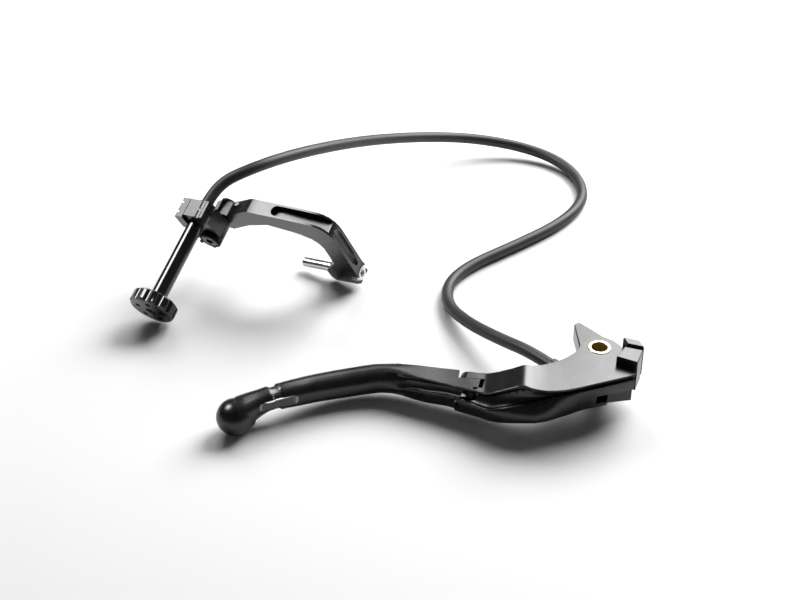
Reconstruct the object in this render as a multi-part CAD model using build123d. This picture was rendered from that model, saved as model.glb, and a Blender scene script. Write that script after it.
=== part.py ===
from build123d import *
import math
import os

# Motorcycle hand lever with a folding blade and a remote reach adjuster, in millimetres.
# Row frame: origin at the centre of the pivot bore, halfway up the assembly's standing height,
# +X from the ball end towards the pivot, +Y towards the handlebar grip, +Z up the pivot axis.

# ---- driving dimensions ----
FLOOR_Z = -17.5            # the surface that the whole set rests on
TOP_Z = 9.0                # flat top of the lever base around the pivot
BASE_LOW_Z = -9.0          # underside of the lever base
BORE_R = 4.0               # pivot bolt bore
BUSH_R = 5.75              # outside of the pivot bush
RUN_GAP = 0.05             # radial clearance of every running fit
BODY_GAP = 0.35            # gap between faces of parts that move past each other
SLOT_LOW, SLOT_HIGH = -2.9, 6.9      # slot in the base that the actuator swings in

FOLD_AT = (-68.1, -4.4, -3.5)        # fold hinge; the lever runs askew to X here
FOLD_HEADING = (0.917, -0.399, 0.0)  # along the lever at the fold, towards the pivot
FOLD_PIN_R = 1.6
TAB_SCREW_AT = (9.0, -15.5)
TAB_SCREW_R = 1.5
BALL_CENTRE = (-180.9, 0.0, -8.3)
TIP_AT = (-160.8, 8.5, -6.0)         # middle of the bar where the break-off groove runs
TIP_HEADING = (0.947, 0.321, 0.0)
BALL_R = 9.2

SPINDLE_START = (-24.5, -1.0, 2.0)   # rear face of the cable ferrule in the base
SPINDLE_DIR = (0.4718, -0.8817, 0.0)
CABLE_R = 3.25

KNOB_R = 12.7
KNOB_LONG = 8.0
TUBE_R = 4.4
KNOB_MIDDLE = Vector(-214.6, 98.1, -4.4)
TUBE_DIR = Vector(0.520, 0.697, 0.494).normalized()
PIN_DIR = Vector(0.757, -0.641, 0.129)
CLAMP_FROM_KNOB = 56.0               # knob middle to clamp middle, along the tube
MOUNT_PIN_R = 2.75

ARM_FRONT, ARM_REAR = -8.1, -16.7    # the two faces of the bracket arm, clamp frame
ARM_PIVOT = (3.5, -12.5)             # bracket swivel axis, clamp frame
ARM_MIDDLE = (ARM_FRONT + ARM_REAR) / 2
PIN_AXIS_Y = -53.9                   # mounting pin, clamp frame
PIN_SEAT_R = 2.2                     # the pin's shank in the arm
MOUNT_HEAD_R = 4.6
SET_SCREW_R = 1.5

os.makedirs("parts", exist_ok=True)

# The remote unit is drawn in the clamp's frame: x along the mounting pin, y up the bracket,
# z along the tube towards the knob.
CLAMP_ORIGIN = KNOB_MIDDLE + TUBE_DIR * CLAMP_FROM_KNOB
CLAMP = Plane(origin=CLAMP_ORIGIN, x_dir=PIN_DIR, z_dir=TUBE_DIR * -1)

# The fold joint is drawn in its own frame: x along the lever towards the pivot, y along the
# hinge pin towards the rear, z up, with its origin on the pin's axis.
FOLD = Plane(origin=FOLD_AT, x_dir=FOLD_HEADING, z_dir=(0, 0, 1))


def prism(points, low, high):
    """A plan outline stood up between two heights."""
    return Pos(0, 0, low) * extrude(make_face(Polyline(*points, close=True)), amount=high - low)


def side_prism(points, y_low, y_high):
    """An x-z outline stretched between two y positions."""
    face = Plane.XZ * make_face(Polyline(*points, close=True))
    return Pos(0, y_high, 0) * extrude(face, amount=y_high - y_low)


def disc(x, y, radius, low, high):
    """An upright cylinder between two heights."""
    return Pos(x, y, low) * Cylinder(radius, high - low, align=(Align.CENTER, Align.CENTER, Align.MIN))


def rod(start, direction, radius, length):
    """A cylinder that starts at a point and runs along a direction."""
    shape = Cylinder(radius, length, align=(Align.CENTER, Align.CENTER, Align.MIN))
    return Plane(origin=start, z_dir=direction) * shape


def along(distance):
    """A point on the adjuster's axis, measured inwards from the ferrule's rear face."""
    return Vector(*SPINDLE_START) + Vector(*SPINDLE_DIR) * distance


def cross_point(distance, side):
    """A plan point beside the adjuster's axis, side positive towards the fold."""
    point = along(distance)
    return (point.X + SPINDLE_DIR[1] * side, point.Y - SPINDLE_DIR[0] * side)


def save(shape, node):
    export_step(shape, "parts/" + node + ".step")


# ---- lever base ----
BASE_PLAN = [
    (-5.0, 7.8), (2.3, 9.0), (8.0, 4.6), (11.0, -1.5), (10.6, -24.2), (8.3, -25.4), (-28.8, -30.9),
    (-38.0, -28.8), (-44.3, -26.4), (-60.2, -19.2), (-74.8, -7.8), (-69.1, 5.0), (-64.0, 2.6),
    (-55.4, -1.2), (-40.1, -9.7), (-22.0, -6.6), (-13.5, -2.0), (-9.3, 2.6),
]
BASE_SIDE = [
    (12.0, TOP_Z), (-22.0, TOP_Z), (-38.0, 10.2), (-42.5, 11.0), (-56.8, 2.9), (-60.7, 1.5),
    (-65.0, 1.4), (-75.3, 0.1), (-75.3, -12.9), (-61.1, -11.8), (-37.0, BASE_LOW_Z),
    (12.0, BASE_LOW_Z),
]
# centre and radius of the finger groove along the front edge, from the fold to the pivot end
GROOVE = [
    ((-82.5, -3.1, -3.3), 2.8), ((-74.8, -8.9, -2.6), 2.8), ((-60.2, -20.2, -1.1), 3.0),
    ((-44.3, -28.2, 3.8), 3.4), ((-28.0, -32.2, 5.2), 2.6), ((-8.0, -28.9, 5.6), 1.6),
    ((14.0, -25.6, 5.8), 1.0),
]
SLOT_PLAN = [
    (-10.5, 16.0), (-11.2, -5.0), cross_point(15.0, -4.0), cross_point(15.0, 6.2),
    cross_point(24.8, 6.2), cross_point(25.5, -6.0), (0.0, -12.0), (14.0, -12.0), (14.0, 16.0),
]
FOLD_FLOOR = -6.5          # floor of the recess that the tongue works in, fold frame
TONGUE_FRONT, TONGUE_REAR = -5.6, 2.4
EAR_REAR = 8.4
EAR_R = 4.3


def lever_base():
    body = prism(BASE_PLAN, BASE_LOW_Z, 11.5) & side_prism(BASE_SIDE, -36, 14)
    body += disc(0, 0, 9.3, FLOOR_Z, TOP_Z)
    groove_rings = []
    for index, (centre, radius) in enumerate(GROOVE):
        before = Vector(*GROOVE[max(index - 1, 0)][0])
        after = Vector(*GROOVE[min(index + 1, len(GROOVE) - 1)][0])
        groove_rings.append(Plane(origin=centre, z_dir=after - before) * Circle(radius))
    body -= loft(groove_rings)
    body -= prism(SLOT_PLAN, SLOT_LOW, SLOT_HIGH)
    # the underside steps back under the pivot end, with a pocket beside the step
    body -= Pos(2.0, -26.5, -5.5) * Box(22.0, 12.0, 9.0)
    body -= Pos(-4.0, -18.0, -5.8) * Box(4.0, 9.0, 8.0)
    # fold joint: recess for the tongue, a pit beyond its end, rear ear rounded about the hinge
    front, rear, pit_front = TONGUE_FRONT - BODY_GAP, TONGUE_REAR + BODY_GAP, TONGUE_FRONT + 1.2
    recess_plan = [
        (-9.0, front), (6.5, front), (6.5, pit_front), (8.8, pit_front), (8.8, rear), (-9.0, rear),
    ]
    recess = prism(recess_plan, FOLD_FLOOR, 9.0)
    flange = prism([(-9.0, -14.0), (4.7, -14.0), (4.7, -3.0), (-9.0, -3.0)], -0.8, 9.0)
    corner = prism([(-12.0, TONGUE_REAR), (0.0, TONGUE_REAR), (0.0, 12.0), (-12.0, 12.0)], -4.0, 9.0)
    knuckle = rod((0, 14, 0), (0, -1, 0), EAR_R, 14)
    knuckle += prism([(-3.4, 0), (0, 0), (0, 14), (-3.4, 14)], -6.0, -2.6)
    body -= FOLD * (recess + flange + (corner - knuckle))
    # bores: pivot bush, fold pin, fold plunger, adjuster, switch tab screw
    body -= disc(0, 0, BUSH_R, FLOOR_Z - 1, TOP_Z + 1)
    body -= FOLD * rod((0, EAR_REAR + 2, 0), (0, -1, 0), FOLD_PIN_R, 12)
    body -= FOLD * rod((7.0, -1.4, -1.5), (1, 0, 0), 1.5, 9.0)
    body -= rod(along(-12.0), SPINDLE_DIR, 2.5, 22.0)
    body -= rod(along(3.5), SPINDLE_DIR, 3.3, 14.0)
    body -= disc(*TAB_SCREW_AT, TAB_SCREW_R, SLOT_LOW, TOP_Z + 1)
    return body


def pivot_bush():
    bush = disc(0, 0, BUSH_R, FLOOR_Z, TOP_Z + 0.4)
    return bush - disc(0, 0, BORE_R, FLOOR_Z - 1, TOP_Z + 1)


# ---- actuator: the horn that pushes the master cylinder, on the same pivot ----
HORN_PLAN = [(-5.6, 25.0), (-4.6, 26.2), (-2.6, 26.4), (11.6, 1.6), (12.6, -4.2), (5.0, -8.0), (-8.8, 2.0)]
STOP_PLAN = [
    (9.6, 4.0), (12.4, -1.2), (18.9, -5.2), (19.2, -10.4), (18.4, -10.4), (11.4, -6.4), (7.0, -4.0),
]
STOP_TOP_PLAN = [(11.5, -1.0), (12.6, -1.4), (18.9, -5.2), (19.2, -10.4), (18.4, -10.4), (11.5, -6.5)]
STOP_TOP_Z = 14.5
PAD_AT = (4.5, 14.15)
PAD_DIR = (0.868, 0.4968, 0.0)       # outward normal of the horn's pushing face
PAD_R = 3.2


def actuator():
    low, high = SLOT_LOW + BODY_GAP, SLOT_HIGH - BODY_GAP
    body = prism(HORN_PLAN, low, high) + disc(0, 0, 8.7, low, high)
    pushed_face = [cross_point(16.05, -3.0), cross_point(16.05, 4.4), cross_point(20.6, 4.4)]
    body += prism(pushed_face + [(-7.0, -16.0), (4.0, -7.0), (-8.0, -3.0)], low, high)
    body += prism(STOP_PLAN, low, high) + prism(STOP_TOP_PLAN, 2.0, STOP_TOP_Z)
    body -= disc(0, 0, BUSH_R + RUN_GAP, SLOT_LOW - 1, SLOT_HIGH + 1)
    seat = Vector(PAD_AT[0], PAD_AT[1], 2.0) - Vector(*PAD_DIR) * 2.0
    return body - rod(seat, PAD_DIR, PAD_R, 6.0)


def actuator_pad():
    seat = Vector(PAD_AT[0], PAD_AT[1], 2.0) - Vector(*PAD_DIR) * 2.0
    return rod(seat, PAD_DIR, PAD_R, 2.9)


# ---- switch tab on the pivot end of the base ----
TAB_PLAN = [(10.4, -7.4), (18.1, -11.9), (12.3, -21.2), (3.9, -14.6)]
TAB_TOP_Z = 13.5
CHEEK_PLAN = [(15.9, -11.4), (18.1, -11.9), (12.9, -20.4), (11.2, -19.4), (11.2, -14.0)]
CHEEK_LOW_Z, CHEEK_TOP_Z = -4.0, 12.0


def switch_tab():
    body = prism(TAB_PLAN, TOP_Z, TAB_TOP_Z) + prism(CHEEK_PLAN, CHEEK_LOW_Z, CHEEK_TOP_Z)
    return body - disc(*TAB_SCREW_AT, TAB_SCREW_R, TOP_Z - 1, CHEEK_TOP_Z + 0.2)


def switch_tab_screw():
    return disc(*TAB_SCREW_AT, TAB_SCREW_R, SLOT_HIGH - 3.5, CHEEK_TOP_Z)


# ---- reach adjuster inside the base ----
def cable_ferrule_lever():
    body = rod(along(0), SPINDLE_DIR, 4.1, 3.4) + rod(along(3.0), SPINDLE_DIR, 3.3, 3.6)
    return body - rod(along(-1), SPINDLE_DIR, 1.3, 12)


def flex_tip_lever():
    return rod(along(0.2), SPINDLE_DIR, 1.2, 6.9)


def adjuster_spindle():
    return rod(along(7.1), SPINDLE_DIR, 3.2, 1.4) + rod(along(8.4), SPINDLE_DIR, 1.5, 5.0)


def adjuster_plunger():
    body = rod(along(9.0), SPINDLE_DIR, 3.25, 6.0)
    body += Pos(*along(12.5)) * Sphere(3.2)
    return body - rod(along(8.5), SPINDLE_DIR, 1.5 + RUN_GAP, 5.2)


# ---- folding blade ----
# centre line and half sizes (depth, height) of the blade's oval sections
BLADE = [
    ((-72.4, -1.3, -6.3), 7.4, 6.8), ((-81.5, 4.8, -7.2), 7.4, 7.2), ((-90.2, 10.2, -7.5), 7.3, 7.3),
    ((-98.1, 13.9, -7.6), 7.2, 7.2), ((-109.9, 17.3, -8.0), 7.1, 7.0), ((-122.4, 16.8, -8.2), 7.0, 6.9),
    ((-139.2, 14.5, -7.6), 6.8, 6.8), ((-150.8, 11.3, -6.6), 6.6, 6.5), ((-161.3, 8.4, -6.0), 6.4, 6.4),
    ((-169.6, 5.0, -6.7), 7.1, 7.2), ((-176.5, 1.8, -7.8), 8.4, 8.4),
]
# side outline of the tongue in the fold frame, its end rounded about the pin
TONGUE_SIDE = [
    (-7.0, 4.4), (4.3, 4.4), (5.3, 3.1), (6.0, 1.2), (6.1, -0.6), (5.5, -2.7), (4.0, -3.9), (-7.0, -3.9),
]


def blade():
    rings = []
    for index, (centre, depth, height) in enumerate(BLADE):
        before = Vector(*BLADE[max(index - 1, 0)][0])
        after = Vector(*BLADE[min(index + 1, len(BLADE) - 1)][0])
        heading = Vector(*FOLD_HEADING) if index == 0 else before - after
        section = Plane(origin=centre, x_dir=(0, 0, 1), z_dir=heading)
        rings.append(section * RectangleRounded(2 * height, 2 * depth, 0.62 * depth))
    body = loft(rings) + Pos(*BALL_CENTRE) * Sphere(BALL_R)
    shoulder = rod((0, 14, 0), (0, -1, 0), EAR_R + 0.9, 14 - TONGUE_REAR)
    body -= FOLD * (shoulder + prism([(-4.9, -12), (20, -12), (20, 14), (-4.9, 14)], -12, 12))
    body += FOLD * side_prism(TONGUE_SIDE, TONGUE_FRONT, TONGUE_REAR)
    # relief groove round the blade where it is meant to break in a fall, and the tip pocket
    tip = Plane(origin=TIP_AT, x_dir=TIP_HEADING, z_dir=(0, 0, 1))
    body -= tip * (Rot(0, 90, 0) * Torus(7.6, 1.9))
    body -= tip * (Pos(3.0, -5.6, -1.4) * Box(16.0, 6.0, 4.0))
    return body - FOLD * rod((0, -14, 0), (0, 1, 0), FOLD_PIN_R + RUN_GAP, 22)


def fold_pin():
    return FOLD * rod((0, EAR_REAR - 1.0, 0), (0, -1, 0), FOLD_PIN_R, EAR_REAR - TONGUE_FRONT - 1.2)


def coil(start, direction, radius, wire_r, length, turns):
    """A round-wire compression spring."""
    path = Helix(pitch=length / turns, height=length, radius=radius)
    ring = Plane(origin=path @ 0, z_dir=path % 0) * Circle(wire_r)
    return Plane(origin=start, z_dir=direction) * sweep(ring, path=path)


def fold_plunger():
    body = rod((7.8, -1.4, -1.5), (1, 0, 0), 1.35, 2.4)
    return FOLD * (body + Pos(7.8, -1.4, -1.5) * Sphere(1.3))


def fold_spring():
    return FOLD * coil((10.5, -1.4, -1.5), (1, 0, 0), 0.95, 0.25, 5.2, 6)


# ---- flexible drive cable, from the lever to the remote clamp ----
def on_tube(distance):
    """A point on the tube's axis, measured from the clamp's middle away from the knob."""
    return CLAMP_ORIGIN + TUBE_DIR * distance


CABLE_LEAVES_CLAMP = 9.0
ROUTE = [
    Vector(*SPINDLE_START), along(-14.0), Vector(-42.5, 32.5, -3.0), Vector(-53.0, 58.5, -9.5),
    Vector(-59.0, 82.0, -13.2), Vector(-54.0, 104.0, -14.2), Vector(-38.0, 120.0, -14.2),
    Vector(-8.0, 135.5, -14.2), Vector(24.0, 154.0, -14.2), Vector(45.0, 176.0, -14.2),
    Vector(51.0, 203.0, -14.2), Vector(44.0, 228.0, -13.0), Vector(24.0, 246.0, -10.6),
    Vector(-6.0, 253.0, -5.5), Vector(-36.0, 245.0, 2.5), Vector(-67.3, 227.1, 13.5),
    Vector(-99.1, 197.9, 28.0), Vector(-129.6, 171.1, 38.5), Vector(-154.5, 154.0, 41.5),
    on_tube(CABLE_LEAVES_CLAMP + 13.0), on_tube(CABLE_LEAVES_CLAMP),
]


def cable_sheath():
    radii = []
    for before, corner, after in zip(ROUTE, ROUTE[1:], ROUTE[2:]):
        turn = math.radians((corner - before).get_angle(after - corner))
        shorter = min((corner - before).length, (after - corner).length)
        radii.append(0.45 * shorter / math.tan(turn / 2))
    path = FilletPolyline(*ROUTE, radius=radii)
    tube = sweep(Plane(origin=path @ 0, z_dir=path % 0) * Circle(CABLE_R), path=path)
    section_volume = math.pi * CABLE_R ** 2 * path.length
    print("cable radii", [round(radius) for radius in radii])
    print("cable length", round(path.length, 1), "volume ratio", round(tube.volume / section_volume, 4))
    return tube


# ---- remote unit, drawn in the clamp frame ----
TUBE_LOW, TUBE_HIGH = -6.0, CLAMP_FROM_KNOB - KNOB_LONG / 2 - 0.5
SHAFT_R = 2.0


def cable_ferrule_remote():
    body = disc(0, 0, 4.3, -CABLE_LEAVES_CLAMP, -6.0) + disc(0, 0, 2.9, -6.5, -2.0)
    return body - disc(0, 0, 1.3, -12, 0)


def flex_tip_remote():
    return disc(0, 0, 1.2, -8.8, 1.0)


def remote_tube():
    return disc(0, 0, TUBE_R, TUBE_LOW, TUBE_HIGH) - disc(0, 0, 2.9, TUBE_LOW - 1, TUBE_HIGH + 1)


def tube_bush(low):
    return disc(0, 0, 2.9, low, low + 5.0) - disc(0, 0, SHAFT_R + RUN_GAP, low - 1, low + 6)


def drive_shaft():
    return disc(0, 0, SHAFT_R, 1.0, CLAMP_FROM_KNOB + 1.0)


FLUTES, FLUTE_R = 12, 2.4
FACE_HOLES = 5


def knob():
    low = CLAMP_FROM_KNOB - KNOB_LONG / 2
    high = CLAMP_FROM_KNOB + KNOB_LONG / 2
    body = disc(0, 0, KNOB_R, low, high)
    body = chamfer(body.edges().filter_by(GeomType.CIRCLE), 0.9)
    for index in range(FLUTES):
        turn = Rot(0, 0, 360 / FLUTES * index)
        body -= turn * disc(KNOB_R + 1.35, 0, FLUTE_R, low - 1, high + 1)
    for index in range(FACE_HOLES):
        turn = Rot(0, 0, 360 / FACE_HOLES * index)
        body -= turn * disc(7.4, 0, 1.5, high - 4.0, high + 1)
    body -= disc(0, 0, SHAFT_R, low - 1, CLAMP_FROM_KNOB + 1.0)
    return body - disc(0, 0, 2.6, CLAMP_FROM_KNOB + 1.0, high + 1)


def knob_screw():
    high = CLAMP_FROM_KNOB + KNOB_LONG / 2
    body = disc(0, 0, 2.5, CLAMP_FROM_KNOB + 1.0, high - 0.3)
    socket = Pos(0, 0, high - 1.6) * extrude(RegularPolygon(1.3, 6), amount=3)
    return body - socket


CLAMP_PLAN = [
    (-4.0, 8.6), (8.0, 8.6), (9.4, 2.0), (10.4, -10.0), (4.5, -19.6), (-3.5, -27.4), (-9.0, -20.5),
    (-4.0, -8.0),
]
CAP_PLAN = [(-9.6, -7.4), (-4.4, -7.4), (-4.4, 8.6), (-9.6, 8.6)]
CLAMP_SCREWS = ((-4.4, 6.6, -3.0), (-4.4, 6.6, 3.0))


def clamp_body():
    body = prism(CLAMP_PLAN, -6.0, 5.0) + disc(*ARM_PIVOT, 6.3, -6.0, 7.0)
    body -= disc(0, 0, TUBE_R, -9, 9)
    body -= disc(*ARM_PIVOT, 2.0, -9, 5.0)
    body -= disc(-3.9, -21.6, 1.5, -9, 9)
    for x, y, z in CLAMP_SCREWS:
        body -= rod((x, y, z), (1, 0, 0), 1.2, 9)
    return body


def clamp_cap():
    body = prism(CAP_PLAN, -6.0, 6.0) - disc(0, 0, TUBE_R, -9, 9)
    for x, y, z in CLAMP_SCREWS:
        body -= rod((-12, y, z), (1, 0, 0), 1.2, 9)
        body -= rod((-10, y, z), (1, 0, 0), 2.0, 2.4)
    return body


def clamp_screws():
    screws = []
    for x, y, z in CLAMP_SCREWS:
        screw = rod((x - 5.0, y, z), (1, 0, 0), 2.0, 1.8) + rod((x - 5.0, y, z), (1, 0, 0), 1.2, 13)
        socket = Plane(origin=(x - 6.0, y, z), z_dir=(1, 0, 0)) * extrude(RegularPolygon(1.0, 6), 2.0)
        screws.append(screw - socket)
    return Compound(screws)


ARM_PLAN = [
    (-3.4, -12.5), (3.5, -6.0), (10.0, -7.4), (28.0, 0.8), (48.0, 0.0), (68.0, -1.5), (75.6, -6.2),
    (78.0, -14.0), (76.4, -48.0), (75.2, -59.0), (56.2, -60.2), (55.8, -50.6), (65.4, -41.0),
    (66.0, -25.0), (61.6, -16.4), (50.0, -12.2), (36.0, -9.6), (22.0, -14.0), (7.5, -21.6), (0.0, -18.6),
]
SET_SCREW_Y = -43.0


def bracket_arm():
    body = prism(ARM_PLAN, ARM_REAR, ARM_FRONT)
    body -= disc(*ARM_PIVOT, 2.5 + RUN_GAP, ARM_REAR - 1, ARM_FRONT + 1)
    # long pocket in the top of the arm, open upwards, and the groove down the leg
    body -= Pos(57.0, -1.5, ARM_MIDDLE) * Box(26.0, 8.0, 4.0)
    body -= Pos(78.6, -28.0, ARM_MIDDLE) * Box(4.0, 26.0, 3.6)
    # pin seat, screw head recess, set screw hole
    body -= rod((50, PIN_AXIS_Y, ARM_MIDDLE), (1, 0, 0), PIN_SEAT_R, 30)
    body -= rod((70.6, PIN_AXIS_Y, ARM_MIDDLE), (1, 0, 0), MOUNT_HEAD_R, 10)
    body -= rod((80, SET_SCREW_Y, ARM_MIDDLE), (-1, 0, 0), SET_SCREW_R, 6.5)
    return body


def bracket_pivot_screw():
    body = disc(*ARM_PIVOT, 2.5, ARM_REAR - 2.0, -6.0) + disc(*ARM_PIVOT, 2.0, -6.5, 4.5)
    return body + disc(*ARM_PIVOT, 4.6, ARM_REAR - 2.7, ARM_REAR - BODY_GAP)


def friction_washer():
    return disc(*ARM_PIVOT, 5.6, -7.7, -6.0) - disc(*ARM_PIVOT, 2.6, -9, -5)


def bracket_set_screw():
    return rod((76.0, SET_SCREW_Y, ARM_MIDDLE), (-1, 0, 0), SET_SCREW_R, 2.4)


def mount_pin():
    body = rod((37.0, PIN_AXIS_Y, ARM_MIDDLE), (1, 0, 0), MOUNT_PIN_R, 18.8)
    body = chamfer(body.edges().filter_by(GeomType.CIRCLE).sort_by(Axis.X)[0], 0.5)
    return body + rod((55.0, PIN_AXIS_Y, ARM_MIDDLE), (1, 0, 0), PIN_SEAT_R, 9.0)


def mount_screw():
    body = rod((71.0, PIN_AXIS_Y, ARM_MIDDLE), (1, 0, 0), MOUNT_HEAD_R, 4.8)
    body += rod((64.2, PIN_AXIS_Y, ARM_MIDDLE), (1, 0, 0), PIN_SEAT_R, 8)
    socket_face = Plane(origin=(74.0, PIN_AXIS_Y, ARM_MIDDLE), z_dir=(1, 0, 0))
    socket = socket_face * extrude(RegularPolygon(1.9, 6), amount=3)
    return body - socket


# each of these functions makes the node of its own name
LEVER_NODES = [
    lever_base, pivot_bush, actuator, actuator_pad, switch_tab, switch_tab_screw, cable_ferrule_lever,
    flex_tip_lever, adjuster_spindle, adjuster_plunger, blade, fold_pin, fold_plunger, fold_spring,
    cable_sheath,
]
REMOTE_NODES = [
    cable_ferrule_remote, flex_tip_remote, remote_tube, drive_shaft, knob, knob_screw, clamp_body,
    clamp_cap, clamp_screws, bracket_arm, bracket_pivot_screw, friction_washer, bracket_set_screw,
    mount_pin, mount_screw,
]

for make in LEVER_NODES:
    save(make(), make.__name__)
for make in REMOTE_NODES:
    save(CLAMP * make(), make.__name__)
save(CLAMP * tube_bush(1.5), "tube_bush_inner")
save(CLAMP * tube_bush(TUBE_HIGH - 6.0), "tube_bush_outer")
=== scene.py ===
import math

import bmesh
import bpy
import numpy as np
from mathutils import Matrix, Vector


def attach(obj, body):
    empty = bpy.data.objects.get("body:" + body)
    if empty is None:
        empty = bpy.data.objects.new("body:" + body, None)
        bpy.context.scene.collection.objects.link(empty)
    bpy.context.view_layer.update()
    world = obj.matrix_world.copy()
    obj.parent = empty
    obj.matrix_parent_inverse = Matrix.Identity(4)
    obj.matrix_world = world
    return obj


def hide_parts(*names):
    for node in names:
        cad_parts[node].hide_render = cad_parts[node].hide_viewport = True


# A folding motorcycle hand lever with a remote reach adjuster, on a pale studio floor.
# Lengths below are in millimetres, in the frame's own axes, and become metres in mm().

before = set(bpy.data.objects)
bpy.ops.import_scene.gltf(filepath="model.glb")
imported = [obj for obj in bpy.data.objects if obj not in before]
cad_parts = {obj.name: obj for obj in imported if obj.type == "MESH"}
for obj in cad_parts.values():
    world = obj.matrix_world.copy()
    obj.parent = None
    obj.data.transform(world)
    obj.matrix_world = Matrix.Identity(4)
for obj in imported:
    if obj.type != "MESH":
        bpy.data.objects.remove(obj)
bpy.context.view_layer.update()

MM = 0.001
FLOOR_Z = -17.5
TOP_Z = 9.0

ROOT = "lever_and_remote"
CLAMP_AT = Vector((-185.484, 137.127, 23.261))      # middle of the remote clamp
TUBE_DIR = Vector((0.519936, 0.696915, 0.493939))   # from the knob towards the clamp
PIN_DIR = Vector((0.751323, -0.64823, 0.123742))    # along the mounting pin
SPINDLE_START = Vector((-24.5, -1.0, 2.0))
SPINDLE_DIR = Vector((0.4718, -0.8817, 0.0))
CABLE_R = 3.25


def mm(point):
    return Vector(point) * MM


# ---------------------------------------------------------------- small tools

def smooth_step(value, low, high):
    t = min(max((value - low) / (high - low), 0.0), 1.0)
    return t * t * (3 - 2 * t)


def through(keys, x):
    """A smooth value at x from a list of (x, value, value, ...) rows, without overshoot."""
    rows = np.array(sorted(keys), float)
    xs, ys = rows[:, 0], rows[:, 1:]
    if x <= xs[0]:
        return ys[0]
    if x >= xs[-1]:
        return ys[-1]
    i = int(np.searchsorted(xs, x)) - 1
    slopes = (ys[1:] - ys[:-1]) / (xs[1:] - xs[:-1])[:, None]

    def tangent(k):
        if k == 0:
            return slopes[0]
        if k == len(xs) - 1:
            return slopes[-1]
        a, b = slopes[k - 1], slopes[k]
        return np.where(a * b > 0, 2 * a * b / np.where(a + b == 0, 1, a + b), 0.0)

    h = xs[i + 1] - xs[i]
    t = (x - xs[i]) / h
    return (ys[i] * (2 * t ** 3 - 3 * t ** 2 + 1) + tangent(i) * h * (t ** 3 - 2 * t ** 2 + t)
            + ys[i + 1] * (3 * t ** 2 - 2 * t ** 3) + tangent(i + 1) * h * (t ** 3 - t ** 2))


def bezier(p0, p1, p2, p3, count):
    """count points along a cubic, the last one left out."""
    points = []
    for i in range(count):
        t = i / count
        s = 1 - t
        points.append(tuple(s ** 3 * a + 3 * s * s * t * b + 3 * s * t * t * c + t ** 3 * d
                            for a, b, c, d in zip(p0, p1, p2, p3)))
    return points


def new_mesh(name, bm):
    bmesh.ops.recalc_face_normals(bm, faces=bm.faces[:])
    mesh = bpy.data.meshes.new(name)
    bm.to_mesh(mesh)
    bm.free()
    piece = bpy.data.objects.new(name, mesh)
    bpy.context.scene.collection.objects.link(piece)
    return piece


def lofted(name, rings):
    """A closed skin over a run of rings, each a list of the same number of 3-D points in mm."""
    bm = bmesh.new()
    loops = [[bm.verts.new(mm(p)) for p in ring] for ring in rings]
    for a, b in zip(loops, loops[1:]):
        for i in range(len(a)):
            j = (i + 1) % len(a)
            bm.faces.new((a[i], a[j], b[j], b[i]))
    bm.faces.new(loops[0])
    bm.faces.new(list(reversed(loops[-1])))
    return new_mesh(name, bm)


def prism(name, outline, low, high, place=None):
    """An outline stood up between two heights; place moves it out of its own frame."""
    rings = []
    for level in (low, high):
        ring = [Vector((x, y, level)) for x, y in outline]
        rings.append([place @ p for p in ring] if place else ring)
    return lofted(name, rings)


def round_bar(name, start, end, radius, sides=48, place=None):
    start, end = Vector(start), Vector(end)
    turn = (end - start).to_track_quat("Z", "Y")
    rings = []
    for centre in (start, end):
        ring = []
        for i in range(sides):
            a = 2 * math.pi * i / sides
            ring.append(centre + turn @ Vector((radius * math.cos(a), radius * math.sin(a), 0)))
        rings.append([place @ p for p in ring] if place else ring)
    return lofted(name, rings)


def turned(name, profile, place, sides=96):
    """A turned part: profile is (distance along the axis, radius), and its last point joins its first."""
    bm = bmesh.new()
    loops = []
    for z, radius in profile:
        loop = []
        for i in range(sides):
            a = 2 * math.pi * i / sides
            loop.append(bm.verts.new(mm(place @ Vector((radius * math.cos(a), radius * math.sin(a), z)))))
        loops.append(loop)
    for a, b in zip(loops, loops[1:] + loops[:1]):
        for i in range(sides):
            j = (i + 1) % sides
            bm.faces.new((a[i], a[j], b[j], b[i]))
    bmesh.ops.remove_doubles(bm, verts=bm.verts[:], dist=1e-8)
    return new_mesh(name, bm)


def combine(piece, others, how):
    """Adds or cuts other meshes, which are used up."""
    for other in others:
        mod = piece.modifiers.new("boolean", "BOOLEAN")
        mod.operation = how
        mod.solver = "EXACT"
        mod.object = other
        settle(piece)
        bpy.data.objects.remove(other)


def settle(piece):
    """Applies a piece's modifiers."""
    graph = bpy.context.evaluated_depsgraph_get()
    mesh = bpy.data.meshes.new_from_object(piece.evaluated_get(graph))
    piece.modifiers.clear()
    piece.data = mesh


def finish_edges(piece, width, angle=32, segments=2):
    """A small machined edge round on every sharp edge, then smooth shading between them."""
    mod = piece.modifiers.new("edge", "BEVEL")
    mod.width = width * MM
    mod.segments = segments
    mod.limit_method = "ANGLE"
    mod.angle_limit = math.radians(angle)
    mod.use_clamp_overlap = True
    mod.harden_normals = False
    piece.data.shade_smooth()
    mod = piece.modifiers.new("normals", "WEIGHTED_NORMAL")
    mod.keep_sharp = True
    piece.data.set_sharp_from_angle(angle=math.radians(50))


def dress(piece, material):
    piece.data.materials.clear()
    piece.data.materials.append(material)


# ---------------------------------------------------------------- materials

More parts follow.
